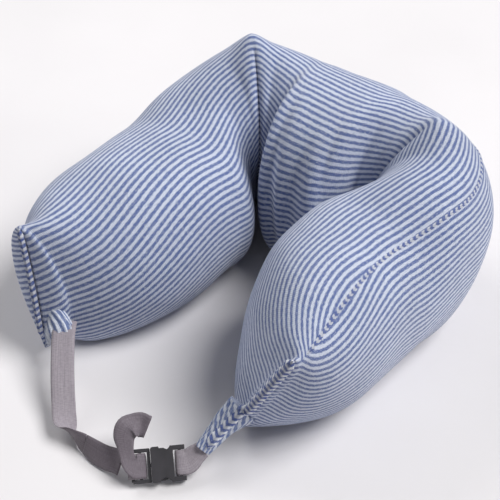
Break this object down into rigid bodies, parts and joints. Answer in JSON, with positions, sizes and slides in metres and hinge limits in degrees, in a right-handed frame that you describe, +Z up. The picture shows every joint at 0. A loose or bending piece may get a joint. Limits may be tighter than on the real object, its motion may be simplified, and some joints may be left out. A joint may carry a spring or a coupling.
{
  "type": "neck pillow",
  "caption": "U-shaped travel neck pillow: a bead-filled striped jersey tube folded at the corners, closed in front by a webbing strap with a side-release buckle.",
  "frame": {"origin": "the middle of the pillow's footprint, on the surface it stands on", "axes": "+Z up, +Y towards the back of the neck, the arms point to -Y, and +X towards the wearer's right arm of the U when it is seen from above with the back at the top"},
  "size_m": [0.364, 0.4253, 0.191],
  "materials": {
    "jersey": "matte",
    "bag_cloth": "matte",
    "beads": "matte",
    "stitching": "matte",
    "webbing": "matte",
    "buckle_plastic": "satin"
  },
  "bodies": {
    "pillow": {"outer_cover": "jersey", "inner_bag": "bag_cloth", "bead_fill": "beads", "right_long_seam": "stitching", "right_end_seam": "stitching", "right_corner": "jersey", "short_strap": "webbing", "buckle_socket": "buckle_plastic"},
    "left_arm": {"left_cover": "jersey", "left_bag": "bag_cloth", "left_fill": "beads", "left_long_seam": "stitching", "left_end_seam": "stitching", "left_corner": "jersey", "long_strap": "webbing"},
    "plug": {"buckle_plug": "buckle_plastic", "strap_tail": "webbing"},
    "prong_front": {"front_prong": "buckle_plastic"},
    "prong_rear": {"rear_prong": "buckle_plastic"}
  },
  "joints": [
    {"name": "left_fold", "type": "hinge", "parent": "pillow", "child": "left_arm", "pos_m": [-0.05, 0.06465, 0], "axis": [0, 0, 1], "range_deg": [-4, 8], "deforming": ["long_strap"]},
    {"name": "buckle_release", "type": "slide", "parent": "pillow", "child": "plug", "axis": [-0.7071, -0.7071, 0], "range_m": [0, 0.03], "deforming": ["long_strap", "front_prong", "rear_prong"]},
    {"name": "front_squeeze", "type": "hinge", "parent": "plug", "child": "prong_front", "pos_m": [0.06602, -0.22025, 0.0075], "axis": [0.4056, -0.4056, 0.8192], "range_deg": [0, 11], "stiffness_Nm_per_rad": 0.02},
    {"name": "rear_squeeze", "type": "hinge", "parent": "plug", "child": "prong_rear", "pos_m": [0.05629, -0.21052, 0.01713], "axis": [-0.4056, 0.4056, -0.8192], "range_deg": [0, 11], "stiffness_Nm_per_rad": 0.02}
  ]
}
